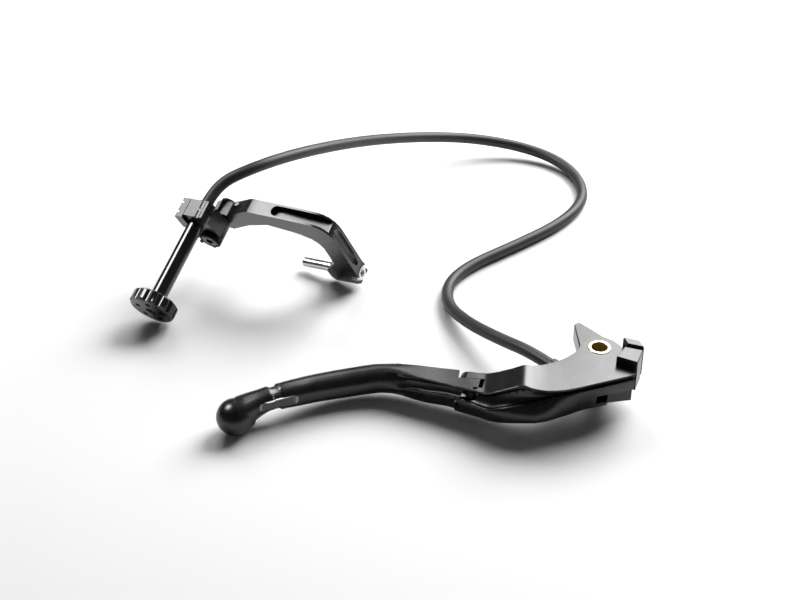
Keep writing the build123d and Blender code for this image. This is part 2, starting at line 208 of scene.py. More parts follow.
def noise_bump(nodes, links, shader, scale, strength, distance, stretch=(1, 1, 1), detail=6):
    where = nodes.new("ShaderNodeTexCoord")
    mapping = nodes.new("ShaderNodeMapping")
    mapping.inputs["Scale"].default_value = stretch
    noise = nodes.new("ShaderNodeTexNoise")
    noise.inputs["Scale"].default_value = scale
    noise.inputs["Detail"].default_value = detail
    bump = nodes.new("ShaderNodeBump")
    bump.inputs["Strength"].default_value = strength
    bump.inputs["Distance"].default_value = distance
    links.new(where.outputs["Object"], mapping.inputs["Vector"])
    links.new(mapping.outputs["Vector"], noise.inputs["Vector"])
    links.new(noise.outputs["Fac"], bump.inputs["Height"])
    links.new(bump.outputs["Normal"], shader.inputs["Normal"])
    return noise, mapping


def ramp_between(nodes, links, source, low, high, low_at=0.3, high_at=0.7):
    ramp = nodes.new("ShaderNodeValToRGB")
    ramp.color_ramp.elements[0].position = low_at
    ramp.color_ramp.elements[0].color = (*low, 1)
    ramp.color_ramp.elements[1].position = high_at
    ramp.color_ramp.elements[1].color = (*high, 1)
    links.new(source, ramp.inputs["Fac"])
    return ramp.outputs["Color"]


def surface(name, low, high, rough, metallic=0.0, grain=900, grain_depth=0.00002, coat=0.0,
            stretch=(1, 1, 1), specular=0.5, strength=0.25, wear=None):
    """A worked surface: two close colours, uneven roughness, fine grain in the bump, wear on edges."""
    material = bpy.data.materials.new(name)
    material.use_nodes = True
    nodes, links = material.node_tree.nodes, material.node_tree.links
    shader = nodes["Principled BSDF"]
    shader.inputs["Metallic"].default_value = metallic
    shader.inputs["Specular IOR Level"].default_value = specular
    shader.inputs["Coat Weight"].default_value = coat
    shader.inputs["Coat Roughness"].default_value = 0.06
    noise, mapping = noise_bump(nodes, links, shader, grain, strength, grain_depth, stretch)
    broad = nodes.new("ShaderNodeTexNoise")
    broad.inputs["Scale"].default_value = grain / 12
    broad.inputs["Detail"].default_value = 4
    links.new(mapping.outputs["Vector"], broad.inputs["Vector"])
    colour = ramp_between(nodes, links, broad.outputs["Fac"], low, high)
    if wear:
        geometry = nodes.new("ShaderNodeNewGeometry")
        edge = nodes.new("ShaderNodeMapRange")
        edge.inputs["From Min"].default_value = 0.52
        edge.inputs["From Max"].default_value = 0.62
        links.new(geometry.outputs["Pointiness"], edge.inputs["Value"])
        mix = nodes.new("ShaderNodeMix")
        mix.data_type = "RGBA"
        mix.inputs["B"].default_value = (*wear, 1)
        links.new(edge.outputs["Result"], mix.inputs["Factor"])
        links.new(colour, mix.inputs["A"])
        colour = mix.outputs["Result"]
    links.new(colour, shader.inputs["Base Color"])
    gloss = nodes.new("ShaderNodeMapRange")
    gloss.inputs["To Min"].default_value = rough[0]
    gloss.inputs["To Max"].default_value = rough[1]
    links.new(broad.outputs["Fac"], gloss.inputs["Value"])
    links.new(gloss.outputs["Result"], shader.inputs["Roughness"])
    return material


ANODISED = surface("anodised_black", (0.006, 0.006, 0.0065), (0.011, 0.011, 0.012), (0.24, 0.32),
                   grain=1400, grain_depth=0.000012, specular=0.5)
BALL_BLACK = surface("polished_black", (0.008, 0.008, 0.009), (0.012, 0.012, 0.013), (0.10, 0.18),
                     grain=1000, grain_depth=0.000004, specular=0.6, coat=0.3)
TUBE_BLACK = surface("gloss_black", (0.006, 0.006, 0.007), (0.012, 0.012, 0.013), (0.12, 0.22),
                     grain=900, grain_depth=0.000006, specular=0.6, coat=0.4)
RUBBER = surface("sheath_rubber", (0.012, 0.012, 0.0125), (0.024, 0.024, 0.025), (0.42, 0.58),
                 grain=700, grain_depth=0.00004, specular=0.45)
STEEL = surface("pin_steel", (0.50, 0.50, 0.50), (0.68, 0.68, 0.69), (0.18, 0.30), metallic=1.0,
                grain=1500, grain_depth=0.00001)
BRASS = surface("bush_brass", (0.78, 0.62, 0.30), (0.92, 0.80, 0.52), (0.22, 0.34), metallic=1.0,
                grain=1200, grain_depth=0.00001)
KNOB_BLACK = surface("knob_black", (0.006, 0.006, 0.0065), (0.012, 0.012, 0.013), (0.18, 0.28),
                     grain=1100, grain_depth=0.000008, specular=0.55, coat=0.2)
SCREW_STEEL = surface("screw_steel", (0.55, 0.55, 0.56), (0.78, 0.78, 0.78), (0.16, 0.34), metallic=1.0,
                      grain=900, grain_depth=0.00002)
SCREW_BLACK = surface("screw_black", (0.012, 0.012, 0.013), (0.03, 0.03, 0.032), (0.30, 0.45),
                      metallic=0.3, grain=1200, grain_depth=0.00002)


# ---------------------------------------------------------------- cable

CABLE_LEAVES_CLAMP = 9.0


def on_tube(distance):
    return CLAMP_AT + TUBE_DIR * distance


def along(distance):
    return SPINDLE_START + SPINDLE_DIR * distance


ROUTE = [
    SPINDLE_START, along(-14.0), (-42.5, 32.5, -3.0), (-53.0, 58.5, -9.5),
    (-59.0, 82.0, -13.2), (-54.0, 104.0, -14.2), (-38.0, 120.0, -14.2),
    (-8.0, 135.5, -14.2), (24.0, 154.0, -14.2), (45.0, 176.0, -14.2),
    (51.0, 203.0, -14.2), (44.0, 228.0, -13.0), (24.0, 246.0, -10.6),
    (-6.0, 253.0, -5.5), (-36.0, 245.0, 2.5), (-67.3, 227.1, 13.5),
    (-99.1, 197.9, 28.0), (-129.6, 171.1, 38.5), (-154.5, 154.0, 41.5),
    on_tube(CABLE_LEAVES_CLAMP + 13.0), on_tube(CABLE_LEAVES_CLAMP),
]


def make_cable():
    data = bpy.data.curves.new("drive_cable", "CURVE")
    data.dimensions = "3D"
    data.bevel_depth = CABLE_R * MM
    data.bevel_resolution = 8
    data.resolution_u = 16
    data.use_fill_caps = True
    spline = data.splines.new("NURBS")
    spline.points.add(len(ROUTE) - 1)
    for point, place in zip(spline.points, ROUTE):
        point.co = (*mm(place), 1.0)
    spline.order_u = 3
    spline.use_endpoint_u = True
    cable = bpy.data.objects.new("drive_cable", data)
    bpy.context.scene.collection.objects.link(cable)
    data.materials.append(RUBBER)
    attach(cable, ROOT)
    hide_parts("cable_sheath")


make_cable()


# ---------------------------------------------------------------- lever sections
# Both lever halves share one kind of section: a flat top that ends in a thin lip, a concave
# finger groove under the lip, and a rounded lower body that stands out further.

def lever_section(rear, lip, top, low_lip, low_z, foot, bottom, groove):
    """(y, z) points round a section, from the rear top corner forwards and down."""
    corner = 0.5
    span = top - bottom
    points = []
    for i in range(10):
        t = i / 10
        points.append((rear - corner + (lip - rear + 2 * corner) * t, top))
    points += bezier((lip + corner, top), (lip, top), (lip, top - 0.1), (lip + 0.1, top - 0.9), 4)
    points += bezier((lip + 0.1, top - 0.9), (lip + 0.6 * groove, top - 1.6),
                     (lip + 1.5 * groove, top - 0.35 * (top - low_z)),
                     (0.5 * (lip + low_lip) + groove, 0.5 * (top + low_z)), 10)
    points += bezier((0.5 * (lip + low_lip) + groove, 0.5 * (top + low_z)),
                     (low_lip + 1.0 * groove, low_z - 0.3 * groove),
                     (low_lip + 0.9, low_z - 0.25 * groove), (low_lip, low_z), 10)
    points += bezier((low_lip, low_z), (low_lip - 1.5, low_z - 0.3),
                     (foot - 1.2, bottom + 0.24 * span), (foot, bottom), 18)
    for i in range(6):
        points.append((foot + (rear - 3.0 - foot) * i / 6, bottom))
    points += bezier((rear - 3.0, bottom), (rear - 1.0, bottom), (rear, bottom + 1.2), (rear, bottom + 3.2), 8)
    for i in range(6):
        points.append((rear, bottom + 3.2 + (top - corner - bottom - 3.2) * i / 6))
    points += bezier((rear, top - corner), (rear, top), (rear, top), (rear - corner, top), 3)
    return points


# angle spans, in degrees from the rear over the top, that match the section's point groups
OVAL_SPANS = ((50, 112, 10), (112, 118, 4), (118, 150, 10), (150, 182, 10), (182, 250, 18),
              (250, 285, 6), (285, 345, 8), (345, 395, 6), (395, 410, 3))


def oval_section(y, z, depth, height, square=2.25):
    """The same count of points round a softly squared oval."""
    points = []
    for low, high, count in OVAL_SPANS:
        for i in range(count):
            a = math.radians(low + (high - low) * i / count)
            c, s = math.cos(a), math.sin(a)
            points.append((y + math.copysign(abs(c) ** (2 / square), c) * depth,
                           z + math.copysign(abs(s) ** (2 / square), s) * height))
    return points


def mixed(a, b, share):
    return [(p[0] + (q[0] - p[0]) * share, p[1] + (q[1] - p[1]) * share) for p, q in zip(a, b)]


def stood(section, x):
    return [Vector((x, y, z)) for y, z in section]


# ---------------------------------------------------------------- fold joint frame
FOLD_AT = Vector((-68.1, -4.4, -3.5))
FOLD_X = Vector((0.917, -0.399, 0.0)).normalized()
FOLD_Y = Vector((-FOLD_X.y, FOLD_X.x, 0.0))
FOLD = Matrix.Translation(FOLD_AT) @ Matrix((FOLD_X, FOLD_Y, (0, 0, 1))).transposed().to_4x4()
KNUCKLE_R = 4.3


# ---------------------------------------------------------------- lever base
# x, rear edge, front lip, top, lower lip y and z, foot, bottom, groove depth
BASE_ROWS = [
    (-82.5, 12.5, -0.9, -0.5, -2.1, -5.9, -2.6, -14.1, 2.6),
    (-74.7, 8.4, -6.2, 0.2, -8.4, -4.6, -8.1, -13.3, 2.8),
    (-69.1, 5.1, -11.0, 0.8, -14.0, -4.2, -13.3, -12.6, 3.0),
    (-64.0, 2.6, -15.1, 1.3, -19.4, -4.0, -17.7, -12.1, 3.2),
    (-59.7, 0.4, -18.3, 1.6, -22.6, -3.6, -21.6, -11.6, 3.4),
    (-56.8, -0.9, -19.9, 2.9, -23.3, -3.0, -23.7, -11.2, 3.4),
    (-49.8, -5.3, -23.7, 7.3, -25.3, -1.0, -27.6, -9.7, 3.6),
    (-43.6, -8.7, -26.5, 10.7, -26.0, 0.4, -29.9, -8.9, 3.6),
    (-42.4, -9.1, -27.0, 10.9, -25.9, 0.5, -30.1, -8.9, 3.6),
    (-39.0, -9.6, -28.3, 9.9, -25.8, 0.9, -30.5, -9.0, 3.4),
    (-34.0, -9.3, -29.8, 9.3, -25.8, 1.6, -30.1, -9.0, 3.0),
    (-28.0, -8.3, -30.4, 9.1, -26.0, 2.6, -28.5, -9.0, 2.6),
    (-22.0, -6.6, -30.0, 9.0, -26.4, 3.4, -26.9, -9.0, 2.0),
    (-13.5, -2.0, -28.7, 9.0, -26.4, 4.4, -24.4, -9.0, 1.5),
    (-9.3, 2.6, -28.0, 9.0, -26.2, 4.8, -23.8, -9.0, 1.3),
    (-7.3, 5.7, -27.7, 9.0, -26.0, 4.9, -23.6, -9.0, 1.3),
    (-4.5, 8.1, -27.2, 9.0, -25.8, 5.1, -23.2, -9.0, 1.2),
    (0.0, 9.3, -26.5, 9.0, -25.2, 5.3, -22.8, -9.0, 1.1),
    (4.0, 8.4, -25.8, 9.0, -24.6, 5.4, -22.4, -9.0, 1.0),
    (7.5, 5.5, -25.2, 9.0, -24.0, 5.5, -22.0, -9.0, 1.0),
    (9.6, 2.2, -24.6, 9.0, -23.6, 5.6, -21.8, -9.0, 1.0),
    (10.9, -1.2, -24.3, 9.0, -23.4, 5.6, -21.8, -9.0, 1.0),
]


CREASE_LEAN = 0.29          # how far the crease runs along x for each step towards the rear


def base_stations():
    """Station x values, closer together where the outline turns."""
    xs = list(np.arange(-84.0, -64.0, 1.0)) + list(np.arange(-64.0, -38.0, 0.75))
    return xs + list(np.arange(-38.0, -15.0, 1.25)) + list(np.arange(-15.0, 10.9, 0.6)) + [10.9]


def base_ring(x):
    """A section of the base; round the crease and the valley its plane leans with the rear edge."""
    row = through(BASE_ROWS, x)
    lean = CREASE_LEAN * smooth_step(x, -76.0, -66.0) * (1 - smooth_step(x, -38.0, -29.0))
    middle = (row[0] + row[1]) / 2
    back = through(BASE_ROWS, x + lean * (row[0] - middle))
    front = through(BASE_ROWS, x + lean * (row[1] - middle))
    section = lever_section(back[0], front[1], row[2], *front[3:])
    return [Vector((x + lean * (y - middle), y, z)) for y, z in section]


def lever_base_piece():
    body = lofted("lever_base_body", [base_ring(x) for x in base_stations()])
    boss = round_bar("boss", (0, 0, FLOOR_Z), (0, 0, -6.0), 9.2, sides=72)
    combine(body, [boss], "UNION")
    # pivot-end underside: step back under the flange, with a pocket beside the step
    step = prism("step", [(-2.0, -40), (14, -40), (14, -21.4), (-2.0, -21.4)], -11, -0.9)
    pocket = prism("pocket", [(-8.2, -40), (-2.4, -40), (-2.4, -18.6), (-8.2, -21.0)], -6.6, -0.9)
    slot = prism("slot", SLOT_PLAN, -2.9, 6.9)
    split = prism("split", [(-30, -20), (-4.5, -20), (-4.5, 20), (-30, 20)], -14, 14, FOLD)
    recess = prism("recess", [(-9.0, -6.0), (6.5, -6.0), (6.5, -4.4), (8.8, -4.4), (8.8, 2.75), (-9.0, 2.75)],
                   -7.2, 9.0, FOLD)
    swing = round_bar("lip_swing", (0, -7.9, 0), (0, -5.6, 0), 6.5, sides=96, place=FOLD)
    flange = prism("flange", [(-9.0, -14.0), (4.7, -14.0), (4.7, -3.0), (-9.0, -3.0)], -0.8, 9.0, FOLD)
    ear = prism("ear_gap", [(-12.0, 2.4), (0.0, 2.4), (0.0, 13.0), (-12.0, 13.0)], -4.0, 9.0, FOLD)
    knuckle = round_bar("knuckle", (0, 14, 0), (0, 1.0, 0), KNUCKLE_R, place=FOLD)
    combine(ear, [knuckle], "DIFFERENCE")
    bore = round_bar("bore", (0, 0, FLOOR_Z - 2), (0, 0, TOP_Z + 2), 5.76, sides=72)
    ferrule = round_bar("ferrule_bore", along(-8.0), along(17.5), 3.35)
    pin = round_bar("pin_bore", (0, 12, 0), (0, -2, 0), 1.62, place=FOLD)
    combine(body, [step, pocket, slot, split, recess, flange, swing, ear, bore, ferrule, pin], "DIFFERENCE")
    finish_edges(body, 0.28)
    dress(body, ANODISED)
    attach(body, ROOT)
    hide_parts("lever_base")
    return body


def cross_point(distance, side):
    point = along(distance)
    return (point.x + SPINDLE_DIR.y * side, point.y - SPINDLE_DIR.x * side)


SLOT_PLAN = [
    (-10.5, 16.0), (-11.2, -5.0), cross_point(15.0, -4.0), cross_point(15.0, 6.2), cross_point(24.8, 6.2),
    cross_point(25.5, -6.0), (0.0, -12.0), (14.0, -12.0), (14.0, 16.0),
]


# ---------------------------------------------------------------- folding blade
# x, centre y and z, half depth, half height of the round part of the blade
BLADE_ROWS = [
    (-180.9, 0.0, -8.2, 9.0, 9.0), (-177.4, 1.2, -7.9, 8.8, 8.9), (-173.3, 3.2, -7.4, 8.0, 8.2),
    (-168.6, 5.4, -6.7, 7.0, 7.2), (-163.4, 7.6, -6.1, 6.5, 6.5), (-157.0, 9.5, -6.1, 6.4, 6.3),
    (-150.8, 11.3, -6.6, 6.6, 6.5), (-139.2, 14.5, -7.6, 6.8, 6.7), (-122.4, 16.8, -8.2, 7.0, 6.9),
    (-109.9, 17.3, -8.0, 7.1, 7.0), (-98.1, 13.9, -7.8, 7.2, 7.2), (-90.2, 10.2, -7.7, 7.3, 7.2),
    (-81.5, 4.8, -7.2, 7.4, 7.1), (-67.0, -4.4, -5.7, 7.4, 6.8),
]
# x, rear edge, front lip, top, lower lip y and z, foot, bottom, groove depth
BLADE_FOLD_ROWS = [
    (-109.9, 22.3, 15.3, -1.0, 12.3, -8.8, 13.3, -15.0, 0.4),
    (-102.0, 20.9, 11.9, -0.6, 9.5, -8.2, 11.5, -14.9, 1.0),
    (-93.7, 16.9, 7.0, -0.5, 5.0, -7.2, 6.6, -14.8, 1.8),
    (-86.0, 13.5, 1.8, -0.3, -0.6, -6.3, 1.4, -14.4, 2.3),
    (-78.2, 9.9, -3.6, -0.0, -5.6, -5.1, -3.6, -13.6, 2.7),
    (-72.8, 7.3, -7.7, 0.4, -10.1, -4.5, -7.9, -13.1, 2.9),
    (-65.0, 3.1, -13.9, 1.2, -17.7, -3.9, -14.7, -12.2, 3.2),
    (-57.0, -1.0, -20.2, 1.9, -24.6, -3.5, -21.6, -11.4, 3.4),
]
BALL_AT = Vector((-180.9, 0.0, -8.3))
BALL_R = 9.15


def blade_section(x):
    oval = oval_section(*through(BLADE_ROWS, x))
    if x < -110.0:
        return oval
    return mixed(oval, lever_section(*through(BLADE_FOLD_ROWS, x)), smooth_step(x, -109.0, -88.0))


def blade_piece():
    xs = list(np.arange(-180.0, -112.0, 1.5)) + list(np.arange(-112.0, -57.0, 1.0))
    body = lofted("lever_blade", [stood(blade_section(x), x) for x in xs])
    # end faces at the fold: the shoulder clears the ear, the tongue goes on between
    end = prism("end", [(-4.85, -20), (30, -20), (30, 20), (-4.85, 20)], -14, 14, FOLD)
    keep = prism("keep", [(-8.0, -5.7), (8.0, -5.7), (8.0, 2.4), (-8.0, 2.4)], -3.9, 8.0, FOLD)
    lip = prism("keep_lip", [(-8.0, -12.0), (4.3, -12.0), (4.3, -4.0), (-8.0, -4.0)], -0.4, 8.0, FOLD)
    combine(keep, [lip], "UNION")
    combine(end, [keep], "DIFFERENCE")
    shoulder = round_bar("shoulder", (0, 2.4, 0), (0, 14, 0), KNUCKLE_R + 0.9, place=FOLD)
    tip = round_bar("tongue_round", (0, -16, 0), (0, 4, 0), 6.15, sides=96, place=FOLD)
    nose = prism("tongue_nose", [(0, -4.0), (6.6, -4.0), (6.6, 2.4), (0, 2.4)], 0.0, 14, FOLD)
    past = prism("past", [(0, -18), (30, -18), (30, 6), (0, 6)], -14, 14, FOLD)
    combine(past, [tip, nose], "DIFFERENCE")
    pin = round_bar("pin_bore", (0, -20, 0), (0, 6, 0), 1.65, place=FOLD)
    combine(body, [end, shoulder, past, pin], "DIFFERENCE")
    combine(body, [ball_mesh()], "UNION")
    combine(body, tip_cutters(), "DIFFERENCE")
    finish_edges(body, 0.22)
    dress(body, ANODISED)
    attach(body, "blade")
    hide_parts("blade")
    return body


def ball_mesh():
    bm = bmesh.new()
    bmesh.ops.create_uvsphere(bm, u_segments=64, v_segments=48, radius=BALL_R * MM)
    bmesh.ops.translate(bm, verts=bm.verts, vec=mm(BALL_AT))
    return new_mesh("ball", bm)


TIP_RUN = Vector((0.945, 0.32, -0.067)).normalized()      # along the bar at the tip
TIP_LOOK = Vector((0.10, 0.956, -0.292)).normalized()    # the pocket is cut along this, front to rear
TIP_UP = TIP_RUN.cross(TIP_LOOK).normalized()
TIP_AT = Vector((-158.1, 9.3, -7.5))


def tip_prism(name, outline, near, far):
    """An outline in the plane across the tip pocket, stretched along the pocket's depth."""
    rings = []
    for reach in (near, far):
        rings.append([TIP_AT + TIP_RUN * u + TIP_UP * v + TIP_LOOK * reach for u, v in outline])
    return lofted(name, rings)


def tip_cutters():
    """The long pocket in the lower front of the tip, the scoop beside the ball, and the break-off notch."""
    outline = []
    for end, side in ((7.8, 1), (-8.6, -1)):
        for i in range(9):
            a = math.radians(90 - 180 * i / 8)
            outline.append((end + side * math.cos(a) * 2.4, side * math.sin(a) * 2.4))
    pocket = tip_prism("pocket", outline, -14, 14)
    curve = [(-8.2, 2.4), (-10.0, 1.4), (-11.3, -0.2), (-12.2, -2.4), (-13.0, -5.0), (-14.2, -7.6), (-16.0, -10.5)]
    scoop = tip_prism("scoop", curve + [(-4.0, -12.0), (-2.0, -2.4), (-2.0, 2.4)], -14, 1.0)
    rings = []
    for x, y, z, depth, height in BLADE_ROWS:
        if -181.0 < x < -150.0:
            rings.append(stood(oval_section(y, z, min(depth, 6.4) - 1.1, min(height, 6.4) - 1.1), x))
    combine(scoop, [lofted("neck_core", rings)], "DIFFERENCE")
    across = Matrix.Translation((-160.8, 8.5, -6.0)) @ TIP_RUN.to_track_quat("Z", "Y").to_matrix().to_4x4()
    notch = turned("notch", [(-3.4, 14), (-3.4, 6.6), (-1.5, 5.5), (1.3, 5.5), (2.6, 6.4), (2.6, 14)], across)
    return [pocket, scoop, notch]




# ---------------------------------------------------------------- remote unit, in the clamp's frame
# x runs along the mounting pin, y up the bracket, z along the tube towards the knob
CLAMP_Z = -TUBE_DIR.normalized()
CLAMP_X = (PIN_DIR - CLAMP_Z * PIN_DIR.dot(CLAMP_Z)).normalized()
CLAMP_Y = CLAMP_Z.cross(CLAMP_X)
CLAMP = Matrix.Translation(CLAMP_AT) @ Matrix((CLAMP_X, CLAMP_Y, CLAMP_Z)).transposed().to_4x4()
KNOB_MIDDLE = 56.0          # knob, along the tube from the clamp
KNOB_R = 12.7
KNOB_HALF = 4.0
TUBE_R = 4.4
SHAFT_R = 2.0
FLUTES = 12
ARM_FRONT, ARM_REAR = -8.1, -16.7
ARM_MIDDLE = (ARM_FRONT + ARM_REAR) / 2
ARM_PIVOT = Vector((3.5, -12.5, 0.0))
PIN_AXIS_Y = -53.9


def at(x, y, z):
    """The clamp frame moved to a point, z still along the tube."""
    return CLAMP @ Matrix.Translation((x, y, z))


def across(x, y, z):
    """A frame at a point whose z runs along the mounting pin."""
    return at(x, y, z) @ Matrix.Rotation(math.radians(90), 4, "Y")


def show(piece, body, nodes, material, width=0.2, segments=2):
    finish_edges(piece, width, segments=segments)
    dress(piece, material)
    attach(piece, body)
    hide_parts(*nodes)


def star_socket(name, radius, depth, place, points=6):
    """A six-lobed driver socket, cut from the z = 0 plane of place down to -depth."""
    outline = []
    for i in range(48):
        a = 2 * math.pi * i / 48
        r = radius * (0.86 + 0.14 * math.cos(points * a))
        outline.append((r * math.cos(a), r * math.sin(a)))
    return prism(name, outline, -depth, 1.0, place)


def hex_socket(name, across_corners, depth, place):
    outline = [(across_corners * math.cos(i * math.pi / 3), across_corners * math.sin(i * math.pi / 3))
               for i in range(6)]
    return prism(name, outline, -depth, 1.0, place)


def knob_piece():
    low, high = -KNOB_HALF, KNOB_HALF
    profile = [(low, 4.6), (low, KNOB_R - 2.2), (low + 0.2, KNOB_R - 1.6), (low + 1.1, KNOB_R - 0.5),
               (low + 1.5, KNOB_R), (high - 1.3, KNOB_R), (high - 0.6, KNOB_R - 0.5),
               (high, KNOB_R - 1.3), (high, 2.7), (1.0, 2.7), (1.0, SHAFT_R), (low, SHAFT_R)]
    knob = turned("reach_knob", profile, at(0, 0, KNOB_MIDDLE), sides=144)
    cuts = []
    for i in range(FLUTES):
        turn = Matrix.Rotation(2 * math.pi * (i + 0.5) / FLUTES, 4, "Z")
        cuts.append(round_bar("flute", (KNOB_R + 1.35, 0, -6), (KNOB_R + 1.35, 0, 6), 2.35,
                              sides=36, place=at(0, 0, KNOB_MIDDLE) @ turn))
    for i in range(5):
        turn = Matrix.Rotation(2 * math.pi * i / 5, 4, "Z")
        cuts.append(round_bar("face_hole", (7.4, 0, 0.5), (7.4, 0, 6), 1.5,
                              sides=28, place=at(0, 0, KNOB_MIDDLE) @ turn))
    combine(knob, cuts, "DIFFERENCE")
    show(knob, "knob", ["knob"], KNOB_BLACK, 0.18)
    place = at(0, 0, KNOB_MIDDLE + KNOB_HALF - 0.3)
    screw = turned("knob_centre_screw", [(-2.6, 2.5), (-0.5, 2.5), (0.0, 2.0), (0.0, 0.0), (-2.6, 0.0)], place, 64)
    combine(screw, [hex_socket("socket", 1.35, 1.3, place)], "DIFFERENCE")
    show(screw, "knob", ["knob_screw"], SCREW_BLACK, 0.1)


def tube_pieces():
    end = KNOB_MIDDLE - KNOB_HALF - 0.5
    profile = [(-6.0, 2.9), (-6.0, TUBE_R), (end - 0.5, TUBE_R), (end, TUBE_R - 0.5), (end, 2.9)]
    tube = turned("remote_guide_tube", profile, CLAMP)
    show(tube, ROOT, ["remote_tube"], TUBE_BLACK, 0.08)
    shaft = turned("knob_drive_shaft", [(1.0, 0.0), (1.0, 1.7), (1.3, SHAFT_R), (56.7, SHAFT_R), (57.0, 1.7),
                                         (57.0, 0.0)], CLAMP, 48)
    show(shaft, "knob", ["drive_shaft"], STEEL, 0.05)
    ferrule = turned("remote_ferrule", [(-9.0, 1.3), (-9.0, 3.9), (-8.6, 4.3), (-6.3, 4.3), (-6.0, 4.0),
                                        (-6.0, 2.85), (-2.0, 2.85), (-2.0, 1.3)], CLAMP, 64)
    show(ferrule, ROOT, ["cable_ferrule_remote"], SCREW_BLACK, 0.1)


CLAMP_PLAN = [(-4.0, 8.6), (8.0, 8.6), (9.4, 2.0), (10.4, -10.0), (4.5, -19.6), (-3.5, -27.4), (-9.0, -20.5),
              (-4.0, -8.0)]
CLAMP_SCREW_AT = ((-4.4, 6.6, -3.0), (-4.4, 6.6, 3.0))


def clamp_pieces():
    body = prism("clamp_block", CLAMP_PLAN, -6.0, 4.4, CLAMP)
    boss = turned("boss", [(-6.0, 6.3), (6.4, 6.3), (7.0, 5.7), (7.0, 0.0), (-6.0, 0.0)], at(3.5, -12.5, 0))
    barrel = turned("barrel", [(-6.0, 4.3), (-1.0, 4.3), (-1.0, 3.7), (0.3, 3.7), (0.3, 4.3), (5.0, 4.3), (5.0, 0.0),
                               (-6.0, 0.0)],
                    at(5.2, 4.6, 0))
    combine(body, [boss, barrel], "UNION")
    cuts = [round_bar("bore", (0, 0, -9), (0, 0, 9), TUBE_R + 0.03, place=CLAMP, sides=72),
            turned("arc", [(6.3, 4.3), (8.0, 4.3), (8.0, 5.1), (6.3, 5.1)], at(3.5, -12.5, 0)),
            round_bar("centre", (3.5, -12.5, 5.4), (3.5, -12.5, 7.5), 2.2, place=CLAMP),
            round_bar("lug_hole", (-3.9, -21.6, -9), (-3.9, -21.6, 9), 1.5, place=CLAMP),
            round_bar("pivot", (3.5, -12.5, -9), (3.5, -12.5, 5.0), 2.0, place=CLAMP),
            prism("step", [(-9.5, -16.0), (-6.0, -29.0), (-1.0, -29.0), (-2.6, -15.6)], 2.6, 9.0, CLAMP)]
    for x, y, z in CLAMP_SCREW_AT:
        cuts.append(round_bar("screw_bore", (x, y, z), (x + 9, y, z), 1.22, place=CLAMP))
    combine(body, cuts, "DIFFERENCE")
    show(body, ROOT, ["clamp_body"], ANODISED, 0.3)
    cap = prism("clamp_front_cap", [(-9.6, -7.4), (-4.4, -7.4), (-4.4, 8.6), (-8.8, 8.6), (-9.6, 7.4)], -6.0, 6.0, CLAMP)
    cuts = [round_bar("bore", (0, 0, -9), (0, 0, 9), TUBE_R + 0.03, place=CLAMP, sides=72),
            prism("cap_step", [(-10.2, -9.0), (-7.2, -9.0), (-7.2, -3.4), (-10.2, -2.6)], 2.0, 7.0, CLAMP)]
    for x, y, z in CLAMP_SCREW_AT:
        cuts.append(round_bar("screw_bore", (-12, y, z), (-3, y, z), 1.22, place=CLAMP))
        cuts.append(round_bar("screw_seat", (-12, y, z), (-7.6, y, z), 2.05, place=CLAMP))
    combine(cap, cuts, "DIFFERENCE")
    show(cap, ROOT, ["clamp_cap"], ANODISED, 0.3)
    screws = None
    for x, y, z in CLAMP_SCREW_AT:
        place = across(x - 5.0, y, z)
        screw = turned("clamp_screw_pair", [(0.0, 0.0), (0.0, 1.6), (0.3, 1.98), (1.8, 1.98), (1.8, 1.18),
                                            (13.0, 1.18), (13.0, 0.0)], place, 40)
        socket = hex_socket("socket", 1.0, 1.2, place @ Matrix.Rotation(math.pi, 4, "X"))
        combine(screw, [socket], "DIFFERENCE")
        if screws:
            combine(screws, [screw], "UNION")
        else:
            screws = screw
    show(screws, ROOT, ["clamp_screws"], SCREW_STEEL, 0.06)


ARM_TOP = [(-3.4, -12.5), (-1.6, -9.2), (3.5, -6.0), (10.0, -7.4), (25.4, 0.2), (28.0, 0.9), (33.0, 0.5),
           (48.0, -0.1), (60.0, -0.8), (68.0, -1.8)]
ARM_CORNER = [(71.6, -2.9), (74.4, -5.0), (76.2, -8.0), (77.2, -11.4), (77.6, -15.0)]
ARM_LEG = [(76.4, -47.5), (77.0, -52.0), (75.6, -58.0), (72.0, -59.8), (58.0, -60.0), (56.0, -57.0),
           (56.0, -50.6), (65.2, -40.6), (66.0, -25.0), (64.6, -20.0), (61.6, -16.6), (56.0, -13.8),
           (50.0, -12.2), (36.0, -9.8), (22.0, -14.0), (7.5, -21.6), (3.6, -20.6), (0.0, -18.6), (-2.6, -15.8)]
POCKET_FLOOR = [(41.0, -3.4), (74.6, -7.6), (82.0, -8.2), (82.0, 4.0), (41.0, 4.0)]


